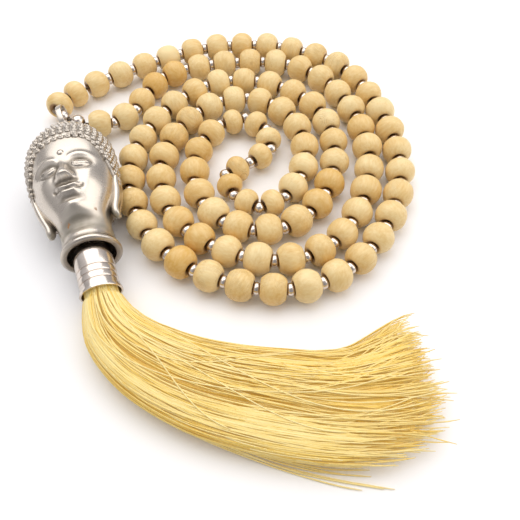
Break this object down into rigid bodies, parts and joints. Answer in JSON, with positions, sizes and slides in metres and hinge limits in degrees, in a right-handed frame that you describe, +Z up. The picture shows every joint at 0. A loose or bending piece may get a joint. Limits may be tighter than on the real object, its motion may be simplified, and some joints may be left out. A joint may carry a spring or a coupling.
{
  "type": "mala prayer beads",
  "caption": "Closed strand of pale wooden beads with small silver spacers, laid in a flat spiral, with a hollow cast head pendant, a swivelling silver cap and a long pale yellow thread tassel.",
  "frame": {"origin": "on the table under the middle of the laid-out mala", "axes": "+Z up from the table, +Y away from the reader across the spiral, +X to the right"},
  "size_m": [0.1012, 0.1323, 0.0195],
  "materials": {
    "wood": "pale lightly polished wood, tones from cream to tan",
    "polished_silver": "polished silver-toned metal",
    "cast_pewter": "cast, silver-toned, softly polished, a little tarnished",
    "cord": "dark waxed thread",
    "thread": "silky pale yellow thread"
  },
  "bodies": {
    "strand": {"bead_run_01": "wood", "bead_run_02": "wood", "bead_run_03": "wood", "bead_run_04": "wood", "bead_run_05": "wood", "bead_run_06": "wood", "bead_run_07": "wood", "bead_run_08": "wood", "bead_run_09": "wood", "bead_run_10": "wood", "bead_run_11": "wood", "bead_run_12": "wood", "bead_run_13": "wood", "bead_run_14": "wood", "bead_run_15": "wood", "bead_run_16": "wood", "bead_run_17": "wood", "bead_run_18": "wood", "bead_run_19": "wood", "bead_run_20": "wood", "bead_run_21": "wood", "bead_run_22": "wood", "bead_run_23": "wood", "bead_run_24": "wood", "spacer_01": "polished_silver", "spacer_02": "polished_silver", "spacer_03": "polished_silver", "spacer_04": "polished_silver", "spacer_05": "polished_silver", "spacer_06": "polished_silver", "spacer_07": "polished_silver", "spacer_08": "polished_silver", "spacer_09": "polished_silver", "spacer_10": "polished_silver", "stringing_cord": "cord"},
    "bead_01": {"wood_bead_01": "wood"},
    "bead_02": {"wood_bead_02": "wood"},
    "bead_03": {"wood_bead_03": "wood"},
    "bead_04": {"wood_bead_04": "wood"},
    "bead_05": {"wood_bead_05": "wood"},
    "bead_06": {"wood_bead_06": "wood"},
    "bead_07": {"wood_bead_07": "wood"},
    "bead_08": {"wood_bead_08": "wood"},
    "bead_09": {"wood_bead_09": "wood"},
    "bead_10": {"wood_bead_10": "wood"},
    "bead_11": {"wood_bead_11": "wood"},
    "bead_12": {"wood_bead_12": "wood"},
    "bail_ball": {"bail_ball": "polished_silver"},
    "side_ball": {"side_ball": "polished_silver"},
    "pendant": {"pendant_head": "cast_pewter", "pendant_bail": "cast_pewter", "neck_bar": "cast_pewter"},
    "pin": {"swivel_pin": "polished_silver"},
    "cap": {"tassel_cap": "polished_silver", "tassel_binding": "thread"},
    "skirt_upper": {"tassel_skirt_upper": "thread"},
    "skirt_tip": {"tassel_skirt_tip": "thread"}
  },
  "joints": [
    {"name": "bead_01_spin", "type": "hinge", "parent": "strand", "child": "bead_01", "pos_m": [-0.04671, 0.03465, 0.00435], "axis": [0.2856, 0.9362, -0.2049], "continuous": true},
    {"name": "bead_02_spin", "type": "hinge", "parent": "strand", "child": "bead_02", "pos_m": [-0.04321, 0.04026, 0.00365], "axis": [0.7224, 0.6915, 0], "continuous": true},
    {"name": "bead_03_spin", "type": "hinge", "parent": "strand", "child": "bead_03", "pos_m": [-0.03784, 0.04471, 0.00365], "axis": [0.8141, 0.5807, 0], "continuous": true},
    {"name": "bead_04_spin", "type": "hinge", "parent": "strand", "child": "bead_04", "pos_m": [-0.03136, 0.049, 0.00365], "axis": [0.8531, 0.5217, 0], "continuous": true},
    {"name": "bead_05_spin", "type": "hinge", "parent": "strand", "child": "bead_05", "pos_m": [-0.02466, 0.05296, 0.00365], "axis": [0.8675, 0.4974, 0], "continuous": true},
    {"name": "bead_06_spin", "type": "hinge", "parent": "strand", "child": "bead_06", "pos_m": [-0.01779, 0.05659, 0.00365], "axis": [0.8995, 0.4368, 0], "continuous": true},
    {"name": "bead_07_spin", "type": "hinge", "parent": "strand", "child": "bead_07", "pos_m": [-0.00825, 0.05228, 0.00365], "axis": [-0.9645, -0.2642, 0], "continuous": true},
    {"name": "bead_08_spin", "type": "hinge", "parent": "strand", "child": "bead_08", "pos_m": [-0.01533, 0.04929, 0.00365], "axis": [-0.8611, -0.5084, 0], "continuous": true},
    {"name": "bead_09_spin", "type": "hinge", "parent": "strand", "child": "bead_09", "pos_m": [-0.02062, 0.04403, 0.00365], "axis": [-0.5129, -0.8584, 0], "continuous": true},
    {"name": "bead_10_spin", "type": "hinge", "parent": "strand", "child": "bead_10", "pos_m": [-0.02373, 0.03704, 0.00365], "axis": [-0.2957, -0.9553, 0], "continuous": true},
    {"name": "bead_11_spin", "type": "hinge", "parent": "strand", "child": "bead_11", "pos_m": [-0.02769, 0.03073, 0.00365], "axis": [-0.7327, -0.6806, 0], "continuous": true},
    {"name": "bead_12_spin", "type": "hinge", "parent": "strand", "child": "bead_12", "pos_m": [-0.03425, 0.02717, 0.00424], "axis": [-0.9583, -0.2429, 0.1503], "continuous": true},
    {"name": "bail_ball_spin", "type": "hinge", "parent": "strand", "child": "bail_ball", "pos_m": [-0.04378, 0.02753, 0.00638], "axis": [-0.8862, 0.4634, 0], "continuous": true},
    {"name": "side_ball_spin", "type": "hinge", "parent": "strand", "child": "side_ball", "pos_m": [-0.0398, 0.02645, 0.00557], "axis": [-0.9368, 0.0579, 0.345], "continuous": true},
    {"name": "pendant_swing", "type": "hinge", "parent": "strand", "child": "pendant", "pos_m": [-0.04378, 0.02753, 0.00638], "axis": [-0.944, -0.3067, -0.1219], "range_deg": [0, 100]},
    {"name": "pin_tilt", "type": "hinge", "parent": "pendant", "child": "pin", "pos_m": [-0.02999, -0.01531, 0.00737], "axis": [0.944, 0.3067, 0.1219], "range_deg": [-6, 6]},
    {"name": "cap_swivel", "type": "hinge", "parent": "pin", "child": "cap", "pos_m": [-0.02999, -0.01531, 0.00737], "axis": [0.3176, -0.9333, -0.1673], "range_deg": [0, 180]},
    {"name": "tassel_sway", "type": "hinge", "parent": "cap", "child": "skirt_upper", "pos_m": [-0.0254, -0.0288, 0.00495], "axis": [0, 0, 1], "range_deg": [-8, 5]},
    {"name": "tassel_bend", "type": "hinge", "parent": "skirt_upper", "child": "skirt_tip", "pos_m": [0.00771, -0.05248, 0.00404], "axis": [0, 0, 1], "range_deg": [-45, 6]}
  ]
}
